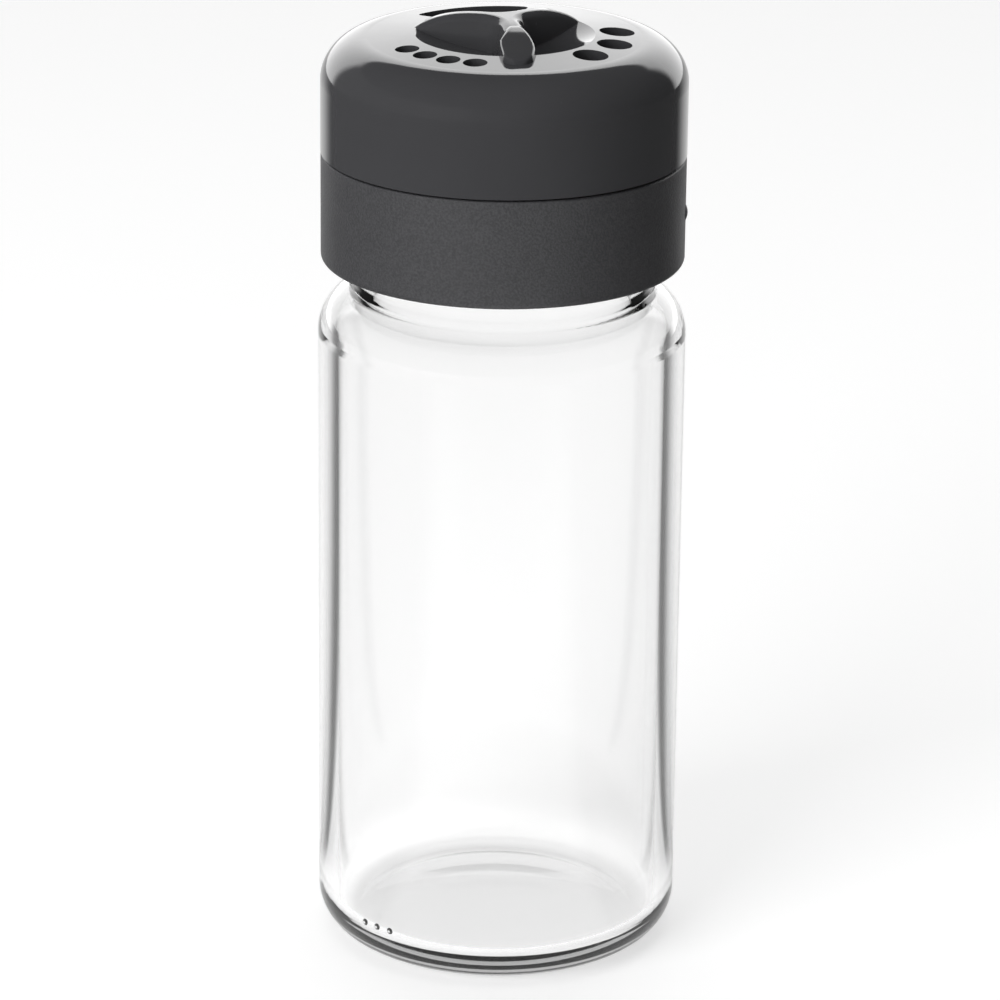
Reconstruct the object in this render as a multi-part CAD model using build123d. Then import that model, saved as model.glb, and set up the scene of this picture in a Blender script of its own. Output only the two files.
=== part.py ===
from build123d import *
from math import cos, radians, sin
import os

half_share = 0.5
quarter_share = 0.25
full_turn = 360.0

# The lid sets the width of everything else
cap_radius = 26.0

# Glass jar: a straight body, a rounded heel, a sloping shoulder and a plain neck
jar_overhang = 0.35
jar_wall = 2.9
heel_radius = 6.0
inner_heel_radius = 3.0
floor_thickness = 3.8
stand_ring_width = 1.8
punt_depth = 0.6
body_height = 96.0
shoulder_rise = 2.5
shoulder_radius = 7.0
neck_height = 15.4
neck_wall = 3.0
neck_root_radius = 1.4
rim_radius = 1.0

# Collar: the matt screw ring, with a ledge over the seal and a spigot for the cap
collar_inset = 0.07
collar_gap = 4.2
collar_height = 15.5
collar_wall = 2.2
collar_foot_radius = 0.7
collar_top_radius = 0.25
thread_depth = 2.3
ledge_thickness = 1.9
spigot_step = 2.65
spigot_wall = 1.8
bead_height = 1.2
bead_proud = 0.55
bead_rise = 2.3
pip_radius = 0.75
pip_proud = 0.12
pip_drop = 8.1
pip_angle = -21.4

# Seal ring between the jar rim and the ledge
seal_thickness = 1.3
seal_clearance = 0.1
seal_side_clearance = 0.3
seal_bore_clearance = 0.5

# Shutter: the stepped insert that closes the cap openings from below
shutter_wall = 1.5
shutter_clearance = 0.15
shutter_rise = 8.0
crown_overlap = 1.4
window_margin = 0.45
window_angle = 30.0
window_half_angle = 28.5
hub_wall = 2.2
hub_length = 4.8
hub_gap = 3.4
key_count = 3
key_width = 4.0
key_depth = 1.6
key_clearance = 0.1
stop_height = 2.0
stop_start_angle = -20.0
stop_arc_angle = 100.0
stop_clearance = 0.4

# Cap: the gloss cover with its three groups of openings
cap_wall = 1.8
cap_height = 17.1
seam_gap = 0.3
crown_drop = 0.5
crown_shoulder_width = 6.6
crown_shoulder_drop = 6.2
snap_clearance = 0.25
snap_height = 1.1
ring_share = 0.6135
fine_share = 0.131
fine_count = 4
fine_spacing_angle = 14.5
coarse_share = 0.192
coarse_count = 3
coarse_spacing_angle = 25.5
group_angle = 55.0
pour_inner_share = 0.423
pour_outer_share = 0.65
pour_half_angle = 30.0
pour_corner_radius = 0.9
pin_radius = 2.4
pin_clearance = 0.06
pin_length = 6.6
stop_rib_width = 2.6

# Grip: a round dish crossed by three arms, one of them drawn out to a pointer
well_share = 0.4885
dish_depth = 2.4
boss_margin = 0.5
arm_count = 3
arm_half_width = 2.35
arm_draft_angle = 9.0
arm_valley_radius = 3.6
arm_edge_radius = 1.2
arm_overlap = 1.0
crest_height = 2.7
crest_radius_share = 0.7
crest_level_share = 0.72
grip_angle = -96.0
pointer_share = 0.64
pointer_skew_angle = -5.2
pointer_half_width = 2.45
pointer_draft_angle = 12.0
pointer_edge_radius = 0.7
pointer_proud = 0.8
pointer_drop = 1.3

# The side of the cap that carries the fine and coarse openings
opening_angle = -90.0

collar_radius = cap_radius - collar_inset
collar_bore_radius = collar_radius - collar_wall
spigot_radius = collar_radius - spigot_step
spigot_bore_radius = spigot_radius - spigot_wall
jar_radius = cap_radius + jar_overhang
neck_radius = collar_bore_radius - thread_depth
mouth_radius = neck_radius - neck_wall
seal_bore_radius = mouth_radius + seal_bore_clearance
crown_radius = cap_radius - crown_shoulder_width
shutter_radius = crown_radius + crown_overlap
well_radius = cap_radius * well_share
boss_radius = well_radius + boss_margin
ring_radius = cap_radius * ring_share
fine_diameter = cap_radius * fine_share
coarse_diameter = cap_radius * coarse_share
hub_bore_radius = pin_radius + pin_clearance
hub_radius = hub_bore_radius + hub_wall

neck_root = body_height + shoulder_rise
rim_height = neck_root + neck_height
collar_bottom = neck_root + collar_gap
seam_height = collar_bottom + collar_height
ledge_bottom = rim_height + seal_thickness + seal_clearance * 2
ledge_top = ledge_bottom + ledge_thickness
crown_height = seam_height + cap_height
shoulder_height = crown_height - crown_drop
crown_underside = shoulder_height - cap_wall
dish_floor = crown_height - dish_depth
boss_underside = dish_floor - cap_wall
shutter_top = crown_underside - shutter_clearance
dish_top = boss_underside - shutter_clearance * 2
spigot_top = shutter_top - shutter_rise
brim_top = spigot_top + shutter_wall


def ring(outer, inner, bottom, top):
    """A plain ring about the axis between two heights."""
    return Pos(0, 0, bottom) * extrude(Circle(outer) - Circle(inner), top - bottom)


def disc(radius, bottom, top):
    """A plain disc about the axis between two heights."""
    return Pos(0, 0, bottom) * extrude(Circle(radius), top - bottom)


def sector(inner, outer, start, sweep):
    """A flat sector of a ring, from one angle over a sweep below a half turn."""
    reach = outer / cos(radians(sweep * quarter_share)) ** 2
    middle = start + sweep * half_share
    corners = [
        (reach * cos(radians(angle)), reach * sin(radians(angle)))
        for angle in (start, middle, start + sweep)
    ]
    return (Circle(outer) - Circle(inner)) & make_face(Polyline((0, 0), *corners, close=True))


def at_angle(radius, angle, height=0):
    """The place at a radius and an angle about the axis."""
    return Pos(radius * cos(radians(angle)), radius * sin(radians(angle)), height)


def turned_profile(points, rounds):
    """A solid turned from a profile of radius and height pairs, with rounded corners."""
    outline = make_face(Polyline(*points, close=True))
    for corner, radius in rounds:
        vertex = outline.vertices().sort_by_distance(corner)[0]
        outline = fillet(vertex, radius)
    return revolve(Plane.XZ * outline, Axis.Z)


def lens(radius, height):
    """A sphere whose cap has this radius and height, with the top of the cap at the origin."""
    sphere_radius = (radius**2 + height**2) / (height * 2)
    return Pos(0, 0, -sphere_radius) * Sphere(sphere_radius)


def jar_side(wall, base, heel, top):
    """The turned solid inside one side of the glass, a wall in from the outside."""
    side = jar_radius - wall
    neck = mouth_radius if wall else neck_radius
    slope_share = (jar_radius - neck_radius) / shoulder_rise
    drop = wall * ((1 + slope_share**2) ** half_share - 1) / slope_share
    corner = (side, body_height - drop)
    root = (neck, body_height - drop + (side - neck) / slope_share)
    foot = (side, base)
    return turned_profile(
        [(0, base), foot, corner, root, (neck, top), (0, top)],
        [(foot, heel), (corner, shoulder_radius - wall), (root, neck_root_radius)],
    )


def make_jar():
    """The glass jar with its thick base and shallow punt."""
    outer = jar_side(0, 0, heel_radius, rim_height)
    inner = jar_side(jar_wall, floor_thickness, inner_heel_radius, rim_height + rim_radius)
    jar = outer - inner
    rim_edges = jar.edges().filter_by(GeomType.CIRCLE).group_by(Axis.Z)[-1]
    jar = fillet(rim_edges, rim_radius)
    punt_radius = jar_radius - heel_radius - stand_ring_width
    return jar - Pos(0, 0, punt_depth) * lens(punt_radius, punt_depth)


def make_collar():
    """The matt screw collar with its ledge, spigot, snap bead and index pip."""
    bead_bottom = seam_height + bead_rise
    bead_top = bead_bottom + bead_height
    bead_radius = spigot_radius + bead_proud
    foot = (collar_radius, collar_bottom)
    step = (collar_radius, seam_height)
    collar = turned_profile(
        [
            (collar_bore_radius, collar_bottom),
            foot,
            step,
            (spigot_radius, seam_height),
            (spigot_radius, bead_bottom),
            (bead_radius, bead_bottom + bead_proud * half_share),
            (bead_radius, bead_top - bead_proud),
            (spigot_radius, bead_top),
            (spigot_radius, spigot_top),
            (spigot_bore_radius, spigot_top),
            (spigot_bore_radius, ledge_top),
            (seal_bore_radius, ledge_top),
            (seal_bore_radius, ledge_bottom),
            (collar_bore_radius, ledge_bottom),
        ],
        [(foot, collar_foot_radius), (step, collar_top_radius)],
    )
    for turn in key_turns():
        collar -= turn * key_block(key_width, key_depth, spigot_wall * 2)
    pip_height = seam_height - pip_drop
    pip = at_angle(collar_radius + pip_proud, pip_angle, pip_height) * Rot(0, 90, pip_angle) * lens(
        pip_radius, pip_proud
    )
    outside = ring(collar_radius + pip_radius, collar_radius - pip_proud, collar_bottom, seam_height)
    return collar + (pip & outside)


def key_turns():
    """The turns about the axis to each key of the shutter."""
    return [Rot(0, 0, index * full_turn / key_count) for index in range(key_count)]


def key_block(width, depth, thickness):
    """The block of one key or its notch, down from the top of the spigot."""
    block = Box(width, thickness, depth, align=(Align.CENTER, Align.CENTER, Align.MAX))
    return Pos(0, spigot_radius - spigot_wall * half_share, spigot_top) * block


def make_seal_ring():
    """The flat sealing ring on the jar rim."""
    bottom = rim_height + seal_clearance
    return ring(collar_bore_radius - seal_side_clearance, seal_bore_radius, bottom, bottom + seal_thickness)


def make_shutter():
    """The stepped insert with one window, the hub and the stop arc."""
    dish_radius = boss_radius + stop_clearance
    dish_bottom = dish_top - shutter_wall
    tube_bore = shutter_radius - shutter_wall
    shutter = turned_profile(
        [
            (hub_bore_radius, dish_top),
            (dish_radius, dish_top),
            (dish_radius, shutter_top),
            (shutter_radius, shutter_top),
            (shutter_radius, brim_top),
            (spigot_radius, brim_top),
            (spigot_radius, spigot_top),
            (tube_bore, spigot_top),
            (tube_bore, shutter_top - shutter_wall),
            (dish_radius + shutter_wall, shutter_top - shutter_wall),
            (dish_radius + shutter_wall, dish_bottom),
            (hub_radius, dish_bottom),
            (hub_radius, dish_top - hub_length),
            (hub_bore_radius, dish_top - hub_length),
        ],
        [((shutter_radius, shutter_top), shutter_wall * half_share)],
    )
    window_inner = hub_radius + hub_gap
    window_outer = ring_radius + coarse_diameter * half_share + window_margin
    window = sector(window_inner, window_outer, window_angle - window_half_angle, window_half_angle * 2)
    cut_bottom = dish_bottom - window_margin
    shutter -= Pos(0, 0, cut_bottom) * extrude(window, shutter_top + window_margin - cut_bottom)
    for turn in key_turns():
        shutter += turn * key_block(key_width - key_clearance * 2, key_depth - key_clearance, spigot_wall)
    stop = sector(shutter_radius - shutter_wall * half_share, spigot_radius, stop_start_angle, stop_arc_angle)
    return shutter + Pos(0, 0, brim_top) * extrude(stop, stop_height)


def make_crown():
    """The turned outside of the cap: a flat rim, the sloping crown, the shoulder and the side."""
    side_height = shoulder_height - crown_shoulder_drop
    skirt_bottom = seam_height + seam_gap
    outline = make_face(
        Polyline(
            (crown_radius, shoulder_height), (well_radius, crown_height), (0, crown_height),
            (0, skirt_bottom), (cap_radius, skirt_bottom), (cap_radius, side_height),
        )
        + EllipticalCenterArc(
            (crown_radius, side_height),
            crown_shoulder_width,
            crown_shoulder_drop,
            start_angle=0,
            arc_size=full_turn * quarter_share,
        )
    )
    return revolve(Plane.XZ * outline, Axis.Z)


def make_cavity():
    """The turned hollow below the crown."""
    bore = cap_radius - cap_wall
    side_height = shoulder_height - crown_shoulder_drop
    skirt_bottom = seam_height + seam_gap
    outline = make_face(
        Polyline(
            (crown_radius, crown_underside), (0, crown_underside), (0, skirt_bottom), (bore, skirt_bottom),
            (bore, side_height),
        )
        + EllipticalCenterArc(
            (crown_radius, side_height),
            crown_shoulder_width - cap_wall,
            crown_shoulder_drop - cap_wall,
            start_angle=0,
            arc_size=full_turn * quarter_share,
        )
    )
    boss = disc(boss_radius, boss_underside, crown_height)
    return revolve(Plane.XZ * outline, Axis.Z) - boss


def make_arms():
    """The three drafted arms under one domed crest, with rounded upper edges."""
    reach = well_radius + arm_overlap
    bar = Rectangle(cap_radius, arm_half_width * 2, align=(Align.MIN, Align.CENTER))
    spacing = full_turn / arm_count
    star = Sketch() + [Rot(0, 0, grip_angle + index * spacing) * bar for index in range(arm_count)]
    star = fillet(star.vertices().sort_by_distance((0, 0))[:arm_count], arm_valley_radius)
    bottom = boss_underside + cap_wall * half_share
    root = crown_underside + cap_wall * half_share
    top = crown_height + crest_height
    blades = extrude(Pos(0, 0, bottom) * star, top + cap_wall - bottom, taper=arm_draft_angle)
    crest_foot = crown_height - crown_drop
    crest_point = (reach * crest_radius_share, crest_foot + (top - crest_foot) * crest_level_share)
    crest = make_face(
        Spline((reach, crest_foot), crest_point, (0, top), tangents=((-1, 1), (-1, 0)))
        + Polyline(
            (0, top),
            (0, bottom),
            (well_radius, bottom),
            (well_radius, root),
            (reach, root),
            (reach, crest_foot),
        )
    )
    arms = blades & revolve(Plane.XZ * crest, Axis.Z)
    domed = arms.edges().filter_by(lambda edge: edge.center().Z > crown_height)
    return fillet(domed, arm_edge_radius)


def make_pointer():
    """The drafted toe that carries one arm past the rim of the dish and slopes to a round tip."""
    root = crown_underside + cap_wall * half_share
    low = shoulder_height + pointer_proud
    high = low + pointer_drop
    start = well_radius - pointer_half_width
    reach = cap_radius * pointer_share
    tip = reach - pointer_half_width
    bar = Rectangle(tip - start, pointer_half_width * 2, align=(Align.MIN, Align.CENTER))
    footprint = Pos(start, 0) * bar + Pos(tip, 0) * Circle(pointer_half_width)
    toe = extrude(Pos(0, 0, root) * footprint, high + pointer_proud - root, taper=pointer_draft_angle)
    outline = Polyline((0, root), (reach, root), (reach, low), (start, high), (0, high), close=True)
    toe = toe & extrude(Plane.XZ * make_face(outline), pointer_half_width * 2, both=True)
    toe = fillet(toe.faces().sort_by(Axis.Z)[-1].edges(), pointer_edge_radius)
    return Rot(0, 0, grip_angle + pointer_skew_angle) * toe


def make_grip_top():
    """The crown with its dish, the three arms that stand in it and the pointer."""
    dish = Pos(0, 0, dish_floor) * Rot(180, 0, 0) * lens(well_radius, dish_depth)
    return make_crown() - make_cavity() - dish + make_arms() + make_pointer()


def make_openings():
    """The cutters of the fine, coarse and pour openings."""
    holes = []
    for side, diameter, count, spacing in (
        (-1, fine_diameter, fine_count, fine_spacing_angle),
        (1, coarse_diameter, coarse_count, coarse_spacing_angle),
    ):
        middle = opening_angle + side * group_angle
        for index in range(count):
            angle = middle + (index - (count - 1) * half_share) * spacing
            holes.append(at_angle(ring_radius, angle) * Circle(diameter * half_share))
    pour = sector(
        cap_radius * pour_inner_share,
        cap_radius * pour_outer_share,
        opening_angle + full_turn * half_share - pour_half_angle,
        pour_half_angle * 2,
    )
    pour = fillet(pour.vertices(), pour_corner_radius)
    bottom = boss_underside - cap_wall
    return Pos(0, 0, bottom) * extrude(Sketch() + holes + [pour], crown_height + cap_wall - bottom)


def make_fittings():
    """The snap ring, the pivot pin and the stop rib inside the cap."""
    bore = cap_radius - cap_wall
    root = bore + cap_wall * half_share
    snap_radius = spigot_radius + snap_clearance
    snap_bottom = seam_height + seam_gap * 2
    snap_top = snap_bottom + snap_height
    snap = turned_profile(
        [
            (root, snap_bottom),
            (bore, snap_bottom),
            (snap_radius, snap_top - snap_height * half_share),
            (snap_radius, snap_top),
            (bore, snap_top + snap_height * half_share),
            (root, snap_top + snap_height * half_share),
        ],
        [],
    )
    pin = disc(pin_radius, boss_underside - pin_length, boss_underside + cap_wall * half_share)
    pin = chamfer(pin.edges().group_by(Axis.Z)[0], pin_radius * quarter_share)
    rib_start = shutter_radius + stop_clearance
    rib = Box(
        root - rib_start,
        stop_rib_width,
        stop_height + stop_clearance,
        align=(Align.MIN, Align.CENTER, Align.MIN),
    )
    return snap + pin + Rot(0, 0, opening_angle) * Pos(rib_start, 0, brim_top + stop_clearance) * rib


def make_cap():
    """The gloss cap with its openings, grip and inner fittings."""
    return make_grip_top() - make_openings() + make_fittings()


if __name__ == "__main__":
    os.makedirs("parts", exist_ok=True)
    export_step(make_jar(), "parts/jar.step")
    export_step(make_collar(), "parts/collar.step")
    export_step(make_seal_ring(), "parts/seal_ring.step")
    export_step(make_shutter(), "parts/shutter.step")
    export_step(make_cap(), "parts/cap.step")
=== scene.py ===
"""The visual model of a glass spice jar with a screw collar and a turning shaker cap.

Everything is in metres and stands in the same frame as the solids: +Z is up and the jar rests on
z = 0. The solids keep their shapes and get their finishes here. The fine forms that the eye expects,
which are the screw threads, the small marks of the glass mould and the sweep of one arm of the grip
into its toe, are added as meshes.
"""

import logging
import math
from dataclasses import dataclass, field
from enum import Enum
from typing import Callable, Iterable, Sequence

import bpy
from mathutils import Matrix, Vector


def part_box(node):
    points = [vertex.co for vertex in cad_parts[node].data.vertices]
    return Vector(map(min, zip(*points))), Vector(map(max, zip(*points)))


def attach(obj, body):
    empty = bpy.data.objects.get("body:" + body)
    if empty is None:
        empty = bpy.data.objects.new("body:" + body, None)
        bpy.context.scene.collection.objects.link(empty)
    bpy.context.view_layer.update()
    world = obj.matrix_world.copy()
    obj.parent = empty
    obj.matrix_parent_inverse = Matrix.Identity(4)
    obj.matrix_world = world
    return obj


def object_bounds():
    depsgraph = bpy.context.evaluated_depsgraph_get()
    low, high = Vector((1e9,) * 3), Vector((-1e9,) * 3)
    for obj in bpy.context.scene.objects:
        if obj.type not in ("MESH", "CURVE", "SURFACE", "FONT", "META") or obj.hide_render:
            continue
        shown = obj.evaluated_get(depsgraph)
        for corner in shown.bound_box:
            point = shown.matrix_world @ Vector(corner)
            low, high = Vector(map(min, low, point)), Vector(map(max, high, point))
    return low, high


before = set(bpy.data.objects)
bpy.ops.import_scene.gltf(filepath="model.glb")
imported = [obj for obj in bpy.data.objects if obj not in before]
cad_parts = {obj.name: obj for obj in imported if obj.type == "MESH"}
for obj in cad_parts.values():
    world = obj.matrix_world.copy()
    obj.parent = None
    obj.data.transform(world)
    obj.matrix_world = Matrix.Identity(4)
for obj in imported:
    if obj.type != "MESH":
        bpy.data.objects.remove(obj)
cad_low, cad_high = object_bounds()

logging.basicConfig(level=logging.INFO, format="%(name)s: %(message)s")
log = logging.getLogger("spice_jar")

MM = 0.001
FULL_TURN = math.tau


class Body(Enum):
    """The moving bodies that a piece can ride on."""

    JAR = "jar"
    COLLAR = "collar"
    CAP = "cap"


class ThreadSide(Enum):
    """Which way a thread stands out of its wall."""

    OUTWARD = 1
    INWARD = -1


def linear_from_hex(colour: str) -> tuple[float, float, float, float]:
    """Turn an sRGB hex colour into linear light.

    Args:
        colour: Six hex digits after a hash.

    Returns:
        Red, green, blue and full opacity, in linear light.
    """
    channels = [int(colour[place : place + 2], 16) / 255 for place in (1, 3, 5)]
    linear = [c / 12.92 if c <= 0.04045 else ((c + 0.055) / 1.055) ** 2.4 for c in channels]
    return (linear[0], linear[1], linear[2], 1.0)


def per_metre(size_mm: float) -> float:
    """The texture scale whose features are this many millimetres wide."""
    return 1.0 / (size_mm * MM)


def add_node(
    tree: bpy.types.NodeTree,
    kind: str,
    settings: dict | None = None,
    links: dict | None = None,
) -> bpy.types.Node:
    """Add a node to a tree with its settings and its links.

    Args:
        tree: The node tree that gets the node.
        kind: The node's type name, without the ShaderNode in front.
        settings: Values by input name, input number or attribute name.
        links: Output sockets by input name or input number.

    Returns:
        The new node.
    """
    node = tree.nodes.new("ShaderNode" + kind)
    for key, value in (settings or {}).items():
        if isinstance(key, int) or key in node.inputs:
            node.inputs[key].default_value = value
        else:
            setattr(node, key, value)
    for key, source in (links or {}).items():
        tree.links.new(source, node.inputs[key])
    return node


def new_material(name: str) -> tuple[bpy.types.Material, bpy.types.NodeTree]:
    """Start a material with an empty node tree.

    Args:
        name: The material's name.

    Returns:
        The material and its node tree.
    """
    material = bpy.data.materials.new(name)
    material.use_nodes = True
    material.node_tree.nodes.clear()
    return material, material.node_tree


@dataclass(frozen=True)
class MouldedPlastic:
    """Injection-moulded plastic: its colour, its gloss and the grain that the mould gives it.

    The two bands are the noise values over which the hairlines and the grain's peaks come up.
    """

    name: str
    colour: str
    shade_colour: str
    roughness: float
    roughness_spread: float
    grain_mm: float
    grain_depth_mm: float
    flow_mm: float
    speckle_share: float = 0.0
    hairline_width_mm: float = 0.0
    hairline_length_mm: float = 30.0
    hairline_roughness: float = 0.0
    hairline_lean: float = math.radians(38.0)
    hairline_band: tuple[float, float] = (0.74, 0.82)
    peak_band: tuple[float, float] = (0.35, 0.65)
    sheen_level: float = 0.5
    ior: float = 1.5

    def build(self) -> bpy.types.Material:
        """Build the material.

        Returns:
            A plastic with mottled colour, uneven gloss, a grain and, where asked, hairlines.
        """
        material, tree = new_material(self.name)
        place = add_node(tree, "TexCoord").outputs["Object"]
        flow = add_node(
            tree, "TexNoise", {"Scale": per_metre(self.flow_mm), "Detail": 3.0}, {"Vector": place}
        )
        grain = add_node(
            tree, "TexNoise", {"Scale": per_metre(self.grain_mm), "Detail": 2.0}, {"Vector": place}
        )
        low, high = self.peak_band
        peaks = add_node(
            tree, "MapRange", {"From Min": low, "From Max": high}, {"Value": grain.outputs["Fac"]}
        )
        mottle = add_node(
            tree,
            "Mix",
            {"data_type": "FLOAT", 0: self.speckle_share},
            {2: flow.outputs["Fac"], 3: peaks.outputs["Result"]},
        )
        colour = add_node(
            tree,
            "Mix",
            {"data_type": "RGBA", 6: linear_from_hex(self.colour), 7: linear_from_hex(self.shade_colour)},
            {0: mottle.outputs[0]},
        )
        uneven = add_node(
            tree,
            "MapRange",
            {
                "To Min": self.roughness - self.roughness_spread,
                "To Max": self.roughness + self.roughness_spread,
            },
            {"Value": flow.outputs["Fac"]},
        )
        roughness = uneven.outputs["Result"]
        if self.hairline_width_mm:
            roughness = self.scratched(tree, place, roughness)
        bump = add_node(
            tree,
            "Bump",
            {"Strength": 1.0, "Distance": self.grain_depth_mm * MM},
            {"Height": grain.outputs["Fac"]},
        )
        surface = add_node(
            tree,
            "BsdfPrincipled",
            {"IOR": self.ior, "Specular IOR Level": self.sheen_level},
            {"Base Color": colour.outputs[2], "Roughness": roughness, "Normal": bump.outputs["Normal"]},
        )
        add_node(tree, "OutputMaterial", None, {"Surface": surface.outputs["BSDF"]})
        return material

    def scratched(
        self, tree: bpy.types.NodeTree, place: bpy.types.NodeSocket, roughness: bpy.types.NodeSocket
    ) -> bpy.types.NodeSocket:
        """Roughen the surface along sparse, steep handling hairlines.

        Args:
            tree: The material's node tree.
            place: The surface coordinates.
            roughness: The roughness without hairlines.

        Returns:
            The roughness with hairlines.
        """
        stretch = add_node(
            tree,
            "Mapping",
            {
                "Rotation": (0.0, self.hairline_lean, 0.0),
                "Scale": (
                    per_metre(self.hairline_width_mm),
                    per_metre(self.hairline_width_mm),
                    per_metre(self.hairline_length_mm),
                ),
            },
            {"Vector": place},
        )
        lines = add_node(tree, "TexNoise", {"Scale": 1.0, "Detail": 1.0}, {"Vector": stretch.outputs[0]})
        low, high = self.hairline_band
        sharp = add_node(
            tree,
            "MapRange",
            {"From Min": low, "From Max": high, "To Min": 0.0, "To Max": self.hairline_roughness},
            {"Value": lines.outputs["Fac"]},
        )
        total = add_node(
            tree, "Math", {"operation": "ADD"}, {0: roughness, 1: sharp.outputs["Result"]}
        )
        return total.outputs[0]


@dataclass(frozen=True)
class BlownGlass:
    """Clear soda-lime glass, blown into a mould: slightly wavy and faintly grey where it is thick."""

    name: str = "clear_soda_lime_glass"
    colour: str = "#fefefe"
    depth_colour: str = "#909090"
    depth_density: float = 8.0
    ior: float = 1.5
    wave_mm: float = 16.0
    wave_height_mm: float = 0.03
    wave_stretch: float = 0.3

    def build(self) -> bpy.types.Material:
        """Build the material.

        Returns:
            A clear glass with slow waves on its surface and a grey body tint.
        """
        material, tree = new_material(self.name)
        place = add_node(tree, "TexCoord").outputs["Object"]
        drawn = add_node(tree, "Mapping", {"Scale": (1.0, 1.0, self.wave_stretch)}, {"Vector": place})
        waves = add_node(
            tree,
            "TexNoise",
            {"Scale": per_metre(self.wave_mm), "Detail": 1.0, "Roughness": 0.4},
            {"Vector": drawn.outputs[0]},
        )
        bump = add_node(
            tree,
            "Bump",
            {"Strength": 1.0, "Distance": self.wave_height_mm * MM},
            {"Height": waves.outputs["Fac"]},
        )
        surface = add_node(
            tree,
            "BsdfPrincipled",
            {
                "Base Color": linear_from_hex(self.colour),
                "Roughness": 0.0,
                "IOR": self.ior,
                "Transmission Weight": 1.0,
            },
            {"Normal": bump.outputs["Normal"]},
        )
        body = add_node(
            tree,
            "VolumeAbsorption",
            {"Color": linear_from_hex(self.depth_colour), "Density": self.depth_density},
        )
        add_node(
            tree,
            "OutputMaterial",
            None,
            {"Surface": surface.outputs["BSDF"], "Volume": body.outputs["Volume"]},
        )
        return material


# Polished tool steel leaves the cap deep grey and glossy, with a few handling hairlines.
GLOSS_CAP_PLASTIC = MouldedPlastic(
    name="gloss_moulded_polypropylene",
    colour="#424244",
    shade_colour="#3d3d3f",
    roughness=0.075,
    roughness_spread=0.015,
    grain_mm=9.0,
    grain_depth_mm=0.02,
    flow_mm=14.0,
    hairline_width_mm=0.35,
    hairline_roughness=0.2,
)

# A spark-eroded mould gives the collar its even, fine matt grain. The real grain is about 0.1 mm
# wide and is drawn some three times coarser, so that it shows.
MATT_COLLAR_PLASTIC = MouldedPlastic(
    name="matt_textured_polypropylene",
    colour="#4e4e50",
    shade_colour="#3c3c3e",
    roughness=0.5,
    roughness_spread=0.05,
    grain_mm=0.32,
    grain_depth_mm=0.07,
    flow_mm=10.0,
    speckle_share=0.7,
)

# A plain, unpolished mould leaves the dark insert under the cap only softly shining.
SATIN_INSERT_PLASTIC = MouldedPlastic(
    name="satin_moulded_polypropylene",
    colour="#2b2b2c",
    shade_colour="#252526",
    roughness=0.34,
    roughness_spread=0.05,
    grain_mm=0.6,
    grain_depth_mm=0.01,
    flow_mm=8.0,
)

# The seal is cut from foam sheet, which is pale, soft and dull.
FOAM_SEAL = MouldedPlastic(
    name="die_cut_polyethylene_foam",
    colour="#dcdcd6",
    shade_colour="#cfcfc8",
    roughness=0.75,
    roughness_spread=0.08,
    grain_mm=0.35,
    grain_depth_mm=0.04,
    flow_mm=3.0,
)

# Blowing into a mould leaves the glass clear and slightly wavy, with soft, slow shifts in what it shows.
CLEAR_GLASS = BlownGlass()


def mesh_object(
    name: str,
    points: Sequence[Vector],
    faces: Iterable[Sequence[int]],
    material: bpy.types.Material,
    body: Body,
) -> bpy.types.Object:
    """Make a smooth-shaded mesh object that rides on a body.

    Args:
        name: The piece's name.
        points: Corner places in metres.
        faces: Corner numbers of each face.
        material: The piece's material.
        body: The body that carries the piece.

    Returns:
        The new object, linked into the scene.
    """
    mesh = bpy.data.meshes.new(name)
    mesh.from_pydata([tuple(point) for point in points], [], [tuple(face) for face in faces])
    mesh.validate()
    mesh.materials.append(material)
    for polygon in mesh.polygons:
        polygon.use_smooth = True
    piece = bpy.data.objects.new(name, mesh)
    bpy.context.scene.collection.objects.link(piece)
    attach(piece, body.value)
    log.info("piece %s: %d faces", name, len(mesh.polygons))
    return piece


def tube_faces(sections: int, ring: int, flip: bool = False) -> list[list[int]]:
    """Join equal rings of corners into the faces of one closed tube.

    Args:
        sections: How many rings there are.
        ring: How many corners each ring has.
        flip: Whether the faces turn the other way round.

    Returns:
        Corner numbers of the side faces and of both ends.
    """
    faces: list[list[int]] = []
    for section in range(sections - 1):
        for corner in range(ring):
            near = section * ring + corner
            beside = section * ring + (corner + 1) % ring
            faces.append([near, beside, beside + ring, near + ring])
    faces.append(list(range(ring))[::-1])
    faces.append(list(range((sections - 1) * ring, sections * ring)))
    return [face[::-1] for face in faces] if flip else faces


def dress(node: str, material: bpy.types.Material) -> None:
    """Give every solid of a node one material.

    Args:
        node: The node's name.
        material: The material for all of its slots.
    """
    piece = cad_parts[node]
    if piece.data.materials:
        for place in range(len(piece.data.materials)):
            piece.data.materials[place] = material
    else:
        piece.data.materials.append(material)
    log.info("node %s: %s", node, material.name)


@dataclass
class LidSizes:
    """Sizes read from the solids, and the thread that joins jar and lid.

    The collar's wall is measured from the cap's side in to the collar's bore, and the thread's room
    from there in to the neck.
    """

    cap_radius: float = field(init=False)
    crest: float = field(init=False)
    collar_bottom: float = field(init=False)
    jar_radius: float = field(init=False)
    bore_radius: float = field(init=False)
    neck_radius: float = field(init=False)
    collar_wall: float = 2.27 * MM
    thread_room: float = 2.3 * MM
    pitch: float = 4.0 * MM

    def __post_init__(self) -> None:
        """Read the sizes that the solids give."""
        cap_low, cap_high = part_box("cap")
        collar_low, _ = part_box("collar")
        jar_low, jar_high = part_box("jar")
        self.cap_radius = (cap_high[0] - cap_low[0]) / 2
        self.crest = cap_high[2]
        self.collar_bottom = collar_low[2]
        self.jar_radius = (jar_high[0] - jar_low[0]) / 2
        self.bore_radius = self.cap_radius - self.collar_wall
        self.neck_radius = self.bore_radius - self.thread_room


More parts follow.
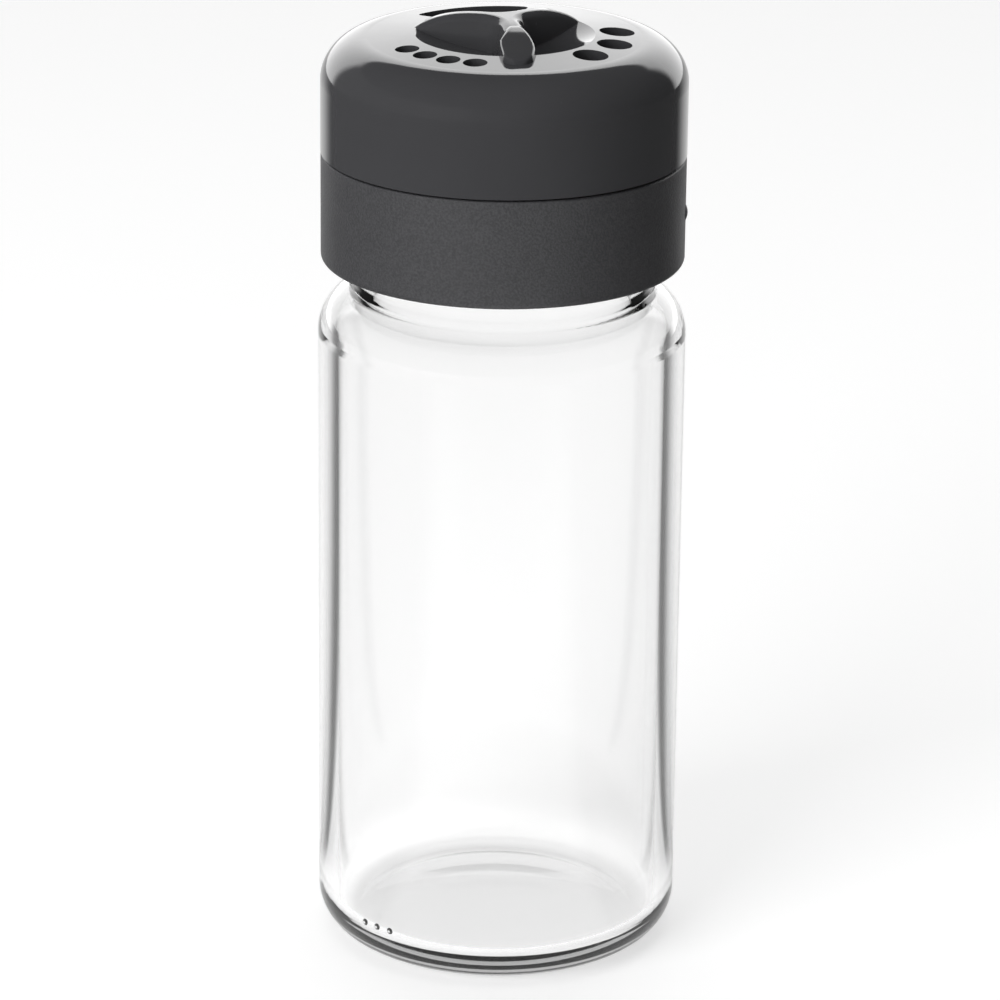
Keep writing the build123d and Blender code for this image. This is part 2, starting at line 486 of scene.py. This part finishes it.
@dataclass
class ScrewThread:
    """A right-handed ridge that winds round a wall and fades out at both ends."""

    name: str
    side: ThreadSide
    wall_radius: float
    height: float
    bottom: float
    turns: float
    pitch: float
    width: float
    start_angle: float
    sink: float = 0.15 * MM
    fade_angle: float = math.radians(32.0)
    end_width_share: float = 0.35
    least_share: float = 0.02
    crest_fullness: float = 0.7
    steps_per_turn: int = 120
    profile_steps: int = 8

    def section(self, share: float) -> list[tuple[float, float]]:
        """The ridge's section where it has a share of its full height.

        Args:
            share: Height as a share of the full height.

        Returns:
            Pairs of outward and upward offsets round the section.
        """
        half_width = self.width / 2 * (self.end_width_share + (1 - self.end_width_share) * share)
        crest = self.height * share
        points = [(-self.sink, -half_width)]
        for step in range(self.profile_steps + 1):
            swing = math.pi * step / self.profile_steps
            points.append((crest * math.sin(swing) ** self.crest_fullness, -half_width * math.cos(swing)))
        points.append((-self.sink, half_width))
        return points

    def build(self, material: bpy.types.Material, body: Body, slot: str) -> bpy.types.Object:
        """Build the ridge.

        Args:
            material: The ridge's material.
            body: The body that carries it.
            slot: The name of a material slot; not used.

        Returns:
            The ridge as one closed mesh.
        """
        steps = int(self.turns * self.steps_per_turn)
        sweep = self.turns * FULL_TURN
        points: list[Vector] = []
        for step in range(steps + 1):
            along = sweep * step / steps
            share = min(1.0, along / self.fade_angle, (sweep - along) / self.fade_angle)
            share = max(share, self.least_share)
            angle = self.start_angle + along
            height = self.bottom + self.pitch * along / FULL_TURN
            for out, up in self.section(math.sin(share * math.pi / 2)):
                radius = self.wall_radius + self.side.value * out
                points.append(Vector((radius * math.cos(angle), radius * math.sin(angle), height + up)))
        faces = tube_faces(steps + 1, len(points) // (steps + 1), self.side is ThreadSide.OUTWARD)
        return mesh_object(self.name, points, faces, material, body)


@dataclass
class MouldMarks:
    """Small round bumps that the glass mould leaves just above the heel."""

    wall_radius: float
    name: str = "jar_heel_marks"
    count: int = 3
    radius: float = 0.5 * MM
    proud: float = 0.25 * MM
    sink: float = 0.1 * MM
    height: float = 6.8 * MM
    first_angle: float = math.radians(-154.5)
    spacing_angle: float = math.radians(5.2)
    around: int = 16
    rings: int = 5

    def build(self, material: bpy.types.Material) -> bpy.types.Object:
        """Build the bumps as low domes on the heel.

        Args:
            material: The glass.

        Returns:
            One mesh of all the bumps.
        """
        points: list[Vector] = []
        faces: list[list[int]] = []
        lean = Matrix.Rotation(math.pi / 2, 4, "Y")
        for mark in range(self.count):
            turn = Matrix.Rotation(self.first_angle + mark * self.spacing_angle, 4, "Z")
            seat = turn @ Matrix.Translation((self.wall_radius, 0, self.height)) @ lean
            first = len(points)
            points.append(seat @ Vector((0, 0, self.proud)))
            for ring in range(1, self.rings + 1):
                share = ring / self.rings
                for step in range(self.around):
                    angle = FULL_TURN * step / self.around
                    out = self.radius * share
                    up = self.proud * (1 - share**2) - (self.sink if ring == self.rings else 0)
                    points.append(seat @ Vector((out * math.cos(angle), out * math.sin(angle), up)))
            for step in range(self.around):
                after = (step + 1) % self.around
                faces.append([first, first + 1 + step, first + 1 + after])
                for ring in range(self.rings - 1):
                    inner = first + 1 + ring * self.around
                    outer = inner + self.around
                    faces.append([inner + step, outer + step, outer + after, inner + after])
            last = first + 1 + (self.rings - 1) * self.around
            faces.append([last + step for step in range(self.around)][::-1])
        return mesh_object(self.name, points, faces, material, Body.JAR)


@dataclass
class GlassJar:
    """The jar with its outer neck thread and the marks on its heel."""

    sizes: LidSizes
    thread_turns: float = 1.6
    thread_height: float = 1.25 * MM
    thread_width: float = 2.0 * MM
    thread_rise: float = 1.3 * MM

    def build(self) -> None:
        """Dress the jar and add its thread and heel marks."""
        glass = CLEAR_GLASS.build()
        dress("jar", glass)
        ScrewThread(
            name="jar_neck_thread",
            side=ThreadSide.OUTWARD,
            wall_radius=self.sizes.neck_radius,
            height=self.thread_height,
            bottom=self.sizes.collar_bottom + self.thread_rise,
            turns=self.thread_turns,
            pitch=self.sizes.pitch,
            width=self.thread_width,
            start_angle=0.0,
        ).build(glass, Body.JAR, "clear_glass")
        MouldMarks(self.sizes.jar_radius).build(glass)


@dataclass
class ScrewCollar:
    """The matt collar with its inner thread, the seal under its ledge and the insert on top."""

    sizes: LidSizes
    thread_turns: float = 1.4
    thread_height: float = 1.25 * MM
    thread_width: float = 1.5 * MM
    thread_rise: float = 1.3 * MM

    def build(self) -> None:
        """Dress the collar, the seal and the insert, and add the inner thread."""
        matt = MATT_COLLAR_PLASTIC.build()
        dress("collar", matt)
        dress("seal_ring", FOAM_SEAL.build())
        dress("shutter", SATIN_INSERT_PLASTIC.build())
        ScrewThread(
            name="collar_inner_thread",
            side=ThreadSide.INWARD,
            wall_radius=self.sizes.bore_radius,
            height=self.thread_height,
            bottom=self.sizes.collar_bottom + self.thread_rise + self.sizes.pitch / 2,
            turns=self.thread_turns,
            pitch=self.sizes.pitch,
            width=self.thread_width,
            start_angle=0.0,
        ).build(matt, Body.COLLAR, "matt_plastic")


@dataclass
class ToeFairing:
    """The skin that carries one arm of the grip over the toe in one sweep, from the hub to the tip.

    Each station holds, in millimetres: the distance from the axis, the left and right sides at the
    crown's level, the depth of the top below the crest, how much lower the top lies on the left, and
    the roundings of the left and right edges.
    """

    crest: float
    name: str = "cap_toe_fairing"
    arm_angle: float = math.radians(-96.0)
    level_depth: float = 2.7 * MM
    root_depth: float = 4.75 * MM
    draft: float = math.tan(math.radians(10.0))
    widest_round: float = 0.9
    round_steps: int = 6
    stations_mm: tuple[tuple[float, ...], ...] = (
        (4.9, -1.50, 1.50, 0.45, 0.0, 1.1, 1.1),
        (6.0, -1.93, 1.92, 0.12, 0.0, 1.1, 1.05),
        (7.0, -2.15, 1.93, 0.24, 0.02, 0.9, 0.9),
        (8.5, -2.72, 1.96, 0.51, 0.06, 0.6, 0.6),
        (10.0, -3.32, 1.95, 0.86, 0.08, 0.4, 0.45),
        (11.5, -3.46, 1.88, 1.21, 0.06, 0.35, 0.4),
        (12.8, -3.50, 1.66, 1.49, 0.05, 0.35, 0.4),
        (14.0, -3.54, 1.22, 1.75, 0.02, 0.35, 0.4),
        (15.0, -3.46, 0.82, 1.96, 0.0, 0.35, 0.4),
        (15.6, -3.16, 0.42, 2.10, 0.0, 0.35, 0.4),
        (16.0, -2.80, -0.02, 2.24, 0.0, 0.35, 0.4),
        (16.25, -2.40, -0.50, 2.50, 0.0, 0.35, 0.35),
        (16.42, -1.95, -1.00, 3.00, 0.0, 0.3, 0.3),
    )

    def section(
        self, left: float, right: float, depth: float, drop: float, left_round: float, right_round: float
    ) -> list[Vector]:
        """One section across the arm, from its right root over the top to its left root.

        Args:
            left: The left side at the crown's level.
            right: The right side at the crown's level.
            depth: How far the top lies below the crest.
            drop: How much lower the top lies on the left.
            left_round: The rounding of the left edge.
            right_round: The rounding of the right edge.

        Returns:
            The section's points, with the crest at height nought.
        """
        lean = self.draft * (self.level_depth - depth)
        low_lean = self.draft * (self.root_depth - self.level_depth)
        room = (right - left) / 2 - lean
        points = [Vector((0, right + low_lean, -self.root_depth))]
        for side, edge, top, wish in (
            (1, right - lean, -depth, right_round),
            (-1, left + lean, -depth - drop, left_round),
        ):
            radius = min(wish, room * self.widest_round)
            arc: list[Vector] = []
            for step in range(self.round_steps + 1):
                swing = math.pi / 2 * step / self.round_steps
                out = edge - side * radius * (1 - math.cos(swing))
                arc.append(Vector((0, out, top - radius * (1 - math.sin(swing)))))
            points += arc if side > 0 else arc[::-1]
        points.append(Vector((0, left - low_lean, -self.root_depth)))
        return points

    def build(self, material: bpy.types.Material) -> bpy.types.Object:
        """Build the skin as one closed mesh.

        Args:
            material: The cap's plastic.

        Returns:
            The skin.
        """
        seat = Matrix.Rotation(self.arm_angle, 4, "Z") @ Matrix.Translation((0, 0, self.crest))
        points: list[Vector] = []
        for reach, *shape in self.stations_mm:
            for point in self.section(*[size * MM for size in shape]):
                points.append(seat @ (point + Vector((reach * MM, 0, 0))))
        sections = len(self.stations_mm)
        faces = tube_faces(sections, len(points) // sections)
        return mesh_object(self.name, points, faces, material, Body.CAP)


@dataclass
class TurningCap:
    """The gloss cap that turns over the insert, with the skin that joins its pointer to the grip."""

    sizes: LidSizes

    def build(self) -> None:
        """Dress the cap and add the skin."""
        gloss = GLOSS_CAP_PLASTIC.build()
        dress("cap", gloss)
        ToeFairing(self.sizes.crest).build(gloss)


@dataclass(frozen=True)
class Lamp:
    """A soft lamp: where it hangs as seen from the camera's side, its width and its power."""

    name: str
    place: tuple[float, float, float]
    width: float
    power: float


@dataclass
class Studio:
    """White paper in a dim room with a bright wall behind the jar, two grey cards and soft lamps.

    The camera sees plain white paper with the jar's shadow. Glossy surfaces meet white paper under the
    jar and in two wedges, a long one that widens behind the jar and a short one in front of it, and a
    dim room elsewhere. Glass shows the paper white but for a grey card on each side behind the jar, and
    the two cards draw the dark lines of the glass walls. Pairs of numbers say where a soft edge starts
    and where it is complete. Distances are in metres, and slopes are metres across for each metre away
    from the camera.
    """

    camera_turn: float = math.radians(-18.5)
    floor_size: float = 6.0
    floor_sink: float = 0.02 * MM
    floor_colour: str = "#c9c9c9"
    floor_glow: float = 0.58
    glass_glow: float = 0.02
    # Painted light: extra glow on the paper under the jar, seen only through the glass, where the jar's own
    # shade falls.
    under_painted_light: float = 0.2
    under_reach: tuple[float, float] = (0.05, 0.03)
    paper_front: tuple[float, float] = (-0.34, -0.14)
    paper_start: tuple[float, float] = (0.011, 0.024)
    paper_slope: tuple[float, float] = (1.05, 0.5)
    least_run: float = 0.001
    card_slope: tuple[float, float] = (1.15, 1.7)
    card_front: tuple[float, float] = (0.01, -0.03)
    room_level: float = 0.1
    card_level: float = 0.2
    wall_width: tuple[float, float] = (0.62, 0.74)
    wall_top: tuple[float, float] = (0.53, 0.57)
    wall_level: float = 3.0
    left_level: float = 0.2
    right_level: float = 0.08
    side_reach: float = 0.7
    ceiling_level: float = 0.08
    glass_air_level: float = 0.7
    lamps: tuple[Lamp, ...] = (
        Lamp("key_lamp", (-0.72, -0.86, 0.48), 0.8, 13.0),
        Lamp("fill_lamp", (0.9, -0.9, 0.4), 0.7, 0.8),
        Lamp("top_lamp", (0.0, 0.1, 1.2), 1.0, 5.0),
    )

    def build(self) -> None:
        """Build the floor, the world and the lamps."""
        self.add_floor()
        self.add_world()
        for lamp in self.lamps:
            self.add_lamp(lamp)

    def axes(self) -> tuple[Vector, Vector]:
        """The level directions away from the camera and to its left."""
        behind = Vector((-math.sin(self.camera_turn), math.cos(self.camera_turn), 0))
        return behind, Vector((-behind.y, behind.x, 0))

    def along_axes(
        self, tree: bpy.types.NodeTree, source: bpy.types.NodeSocket
    ) -> list[bpy.types.NodeSocket]:
        """Measure a place or a direction along the two level directions.

        Args:
            tree: The node tree.
            source: The place or the direction.

        Returns:
            How far it goes away from the camera, and how far to its left.
        """
        return [
            add_node(tree, "VectorMath", {"operation": "DOT_PRODUCT", 1: axis}, {0: source}).outputs["Value"]
            for axis in self.axes()
        ]

    @staticmethod
    def fade(
        tree: bpy.types.NodeTree, source: bpy.types.NodeSocket, reach: tuple[float, float]
    ) -> bpy.types.NodeSocket:
        """Fade softly from nothing to one while a value runs over a reach.

        Args:
            tree: The node tree.
            source: The value.
            reach: Where the fade starts and where it is complete.

        Returns:
            The fade.
        """
        ends = {"interpolation_type": "SMOOTHSTEP", "From Min": reach[0], "From Max": reach[1]}
        return add_node(tree, "MapRange", ends, {"Value": source}).outputs["Result"]

    def add_floor(self) -> None:
        """Add the floor, with the paper's edges and the cards as reflections and glass meet them."""
        material, tree = new_material("matt_white_paper")
        rays = add_node(tree, "LightPath").outputs
        reflected = add_node(
            tree, "Math", {"operation": "MAXIMUM"}, {0: rays["Is Glossy Ray"], 1: rays["Is Transmission Ray"]}
        ).outputs[0]
        place = add_node(tree, "TexCoord").outputs["Object"]
        distance = add_node(tree, "VectorMath", {"operation": "LENGTH"}, {0: place}).outputs["Value"]
        under = self.fade(tree, distance, self.under_reach)
        paper = self.lit_paper(tree, rays, reflected, under)
        white = self.white_share(tree, rays, place, under)
        beyond = add_node(tree, "Math", {"operation": "SUBTRACT", 0: 1.0}, {1: white}).outputs[0]
        dim = add_node(tree, "Math", {"operation": "MULTIPLY"}, {0: beyond, 1: reflected}).outputs[0]
        level = add_node(
            tree,
            "Mix",
            {"data_type": "FLOAT", 2: self.room_level, 3: self.card_level},
            {0: rays["Is Transmission Ray"]},
        ).outputs[0]
        room = add_node(tree, "Emission", None, {"Strength": level}).outputs[0]
        surface = add_node(tree, "MixShader", None, {0: dim, 1: paper, 2: room}).outputs[0]
        add_node(tree, "OutputMaterial", None, {"Surface": surface})
        half = self.floor_size / 2
        mesh = bpy.data.meshes.new("floor")
        corners = [(-half, -half, 0), (half, -half, 0), (half, half, 0), (-half, half, 0)]
        mesh.from_pydata(corners, [], [(0, 1, 2, 3)])
        mesh.materials.append(material)
        floor = bpy.data.objects.new("floor", mesh)
        floor.location.z = -self.floor_sink
        bpy.context.scene.collection.objects.link(floor)

    def lit_paper(
        self,
        tree: bpy.types.NodeTree,
        rays: bpy.types.NodeOutputs,
        reflected: bpy.types.NodeSocket,
        under: bpy.types.NodeSocket,
    ) -> bpy.types.NodeSocket:
        """Make the paper: matt and pale, with a glow that only camera, reflections and glass see, and a
        painted pool of light under the jar that only glass sees.

        Args:
            tree: The floor's node tree.
            rays: The kinds of light path.
            reflected: One for the rays of reflections and glass.
            under: One under the jar.

        Returns:
            The paper's shader.
        """
        seen = add_node(
            tree, "Math", {"operation": "MAXIMUM"}, {0: rays["Is Camera Ray"], 1: reflected}
        ).outputs[0]
        # Painted light: through the glass, the paper under the jar is lifted by extra glow to make up for the
        # jar's shade there.
        through = add_node(
            tree, "Math", {"operation": "MULTIPLY_ADD", 1: self.under_painted_light, 2: self.glass_glow}, {0: under}
        ).outputs[0]
        extra = add_node(
            tree, "Math", {"operation": "MULTIPLY"}, {0: rays["Is Transmission Ray"], 1: through}
        ).outputs[0]
        glow = add_node(
            tree, "Math", {"operation": "MULTIPLY_ADD", 1: self.floor_glow}, {0: seen, 2: extra}
        ).outputs[0]
        light = add_node(tree, "Emission", None, {"Strength": glow}).outputs[0]
        sheet = add_node(tree, "BsdfDiffuse", {"Color": linear_from_hex(self.floor_colour)}).outputs[0]
        return add_node(tree, "AddShader", None, {0: light, 1: sheet}).outputs[0]

    def white_share(
        self,
        tree: bpy.types.NodeTree,
        rays: bpy.types.NodeOutputs,
        place: bpy.types.NodeSocket,
        under: bpy.types.NodeSocket,
    ) -> bpy.types.NodeSocket:
        """Find where reflections and glass meet white paper.

        Args:
            tree: The floor's node tree.
            rays: The kinds of light path.
            place: The floor's coordinates.
            under: One under the jar.

        Returns:
            One on white paper, nought on the cards and in the dim room.
        """
        along, across = self.along_axes(tree, place)
        run, rise = [
            add_node(
                tree,
                "Math",
                {"operation": "SUBTRACT", 1: start},
                {0: add_node(tree, "Math", {"operation": "ABSOLUTE"}, {0: source}).outputs[0]},
            ).outputs[0]
            for source, start in zip((along, across), self.paper_start)
        ]
        run = add_node(tree, "Math", {"operation": "MAXIMUM", 1: self.least_run}, {0: run}).outputs[0]
        slope = add_node(tree, "Math", {"operation": "DIVIDE"}, {0: rise, 1: run}).outputs[0]
        parts = [
            add_node(
                tree, "Math", {"operation": "MULTIPLY"}, {0: self.fade(tree, source, reach), 1: limit}
            ).outputs[0]
            for source, reach, limit in (
                (slope, self.paper_slope, self.fade(tree, along, self.paper_front)),
                (slope, self.card_slope, rays["Is Transmission Ray"]),
                (along, self.card_front, rays["Is Transmission Ray"]),
            )
        ]
        white = under
        for part in parts:
            white = add_node(tree, "Math", {"operation": "MAXIMUM"}, {0: white, 1: part}).outputs[0]
        return white

    def add_world(self) -> None:
        """Add the room: a white wall behind the jar, up to a dim ceiling, and sides brighter on the left."""
        world = bpy.data.worlds.new("studio")
        bpy.context.scene.world = world
        world.use_nodes = True
        tree = world.node_tree
        tree.nodes.clear()
        direction = add_node(tree, "TexCoord").outputs["Generated"]
        behind, left = self.along_axes(tree, direction)
        height = add_node(tree, "SeparateXYZ", None, {0: direction}).outputs["Z"]
        level = add_node(
            tree,
            "MapRange",
            {
                "interpolation_type": "SMOOTHSTEP",
                "From Min": -self.side_reach,
                "From Max": self.side_reach,
                "To Min": self.right_level,
                "To Max": self.left_level,
            },
            {"Value": left},
        ).outputs["Result"]
        for source, (start, end), far_level in (
            (behind, self.wall_width, self.wall_level),
            (height, self.wall_top, self.ceiling_level),
        ):
            level = add_node(
                tree,
                "MapRange",
                {
                    "interpolation_type": "SMOOTHSTEP",
                    "From Min": start,
                    "From Max": end,
                    "To Max": far_level,
                },
                {"Value": source, "To Min": level},
            ).outputs["Result"]
        rays = add_node(tree, "LightPath").outputs
        through = add_node(
            tree,
            "Mix",
            {"data_type": "FLOAT", 3: self.glass_air_level},
            {0: rays["Is Transmission Ray"], 2: level},
        )
        shown = add_node(
            tree, "Mix", {"data_type": "FLOAT", 3: 1.0}, {0: rays["Is Camera Ray"], 2: through.outputs[0]}
        )
        air = add_node(tree, "Background", None, {"Strength": shown.outputs[0]})
        add_node(tree, "OutputWorld", None, {"Surface": air.outputs[0]})

    def add_lamp(self, lamp: Lamp) -> None:
        """Add a soft lamp that points at the jar's middle.

        Args:
            lamp: The lamp's place, size and power.
        """
        data = bpy.data.lights.new(lamp.name, "AREA")
        data.size = lamp.width
        data.energy = lamp.power
        holder = bpy.data.objects.new(lamp.name, data)
        bpy.context.scene.collection.objects.link(holder)
        spot = Matrix.Rotation(self.camera_turn, 4, "Z") @ Vector(lamp.place)
        aim = Vector((0, 0, (cad_low[2] + cad_high[2]) / 2)) - spot
        holder.location = spot
        holder.rotation_mode = "QUATERNION"
        holder.rotation_quaternion = aim.to_track_quat("-Z", "Y")
        holder.visible_camera = False
        holder.visible_glossy = False
        holder.visible_transmission = False


@dataclass
class PhotoCamera:
    """The camera at the photograph's viewing angle."""

    sizes: LidSizes
    turn: float = math.radians(-18.5)
    pitch: float = 0.3451
    roll: float = 0.0109
    distance_share: float = 26.0453
    height_share: float = 11.8899
    focal_px: float = 4961.34
    frame_px: float = 1000.0
    sensor_mm: float = 36.0
    near_clip: float = 10.0 * MM

    def build(self) -> None:
        """Place the camera and make it the scene's own."""
        data = bpy.data.cameras.new("photo_camera")
        data.sensor_width = self.sensor_mm
        data.lens = self.focal_px * self.sensor_mm / self.frame_px
        data.clip_start = self.near_clip
        camera = bpy.data.objects.new("photo_camera", data)
        bpy.context.scene.collection.objects.link(camera)
        radius = self.sizes.cap_radius
        turn = Matrix.Rotation(self.turn, 4, "Z")
        tilt = Matrix.Rotation(math.pi / 2 - self.pitch, 4, "X")
        lean = Matrix.Rotation(self.roll, 4, "Z")
        spot = turn @ Vector((0, -self.distance_share * radius, self.height_share * radius))
        camera.matrix_world = Matrix.Translation(spot) @ turn @ tilt @ lean
        bpy.context.scene.camera = camera


def main() -> None:
    """Build the jar, its lid, the studio and the camera."""
    sizes = LidSizes()
    builders: list[tuple[str, Callable[[], None]]] = [
        ("glass jar", GlassJar(sizes).build),
        ("screw collar", ScrewCollar(sizes).build),
        ("turning cap", TurningCap(sizes).build),
        ("studio", Studio().build),
        ("camera", PhotoCamera(sizes).build),
    ]
    for name, build in builders:
        build()
        log.info("built the %s", name)
    bpy.context.scene.view_settings.view_transform = "Standard"


if __name__ == "__main__":
    main()
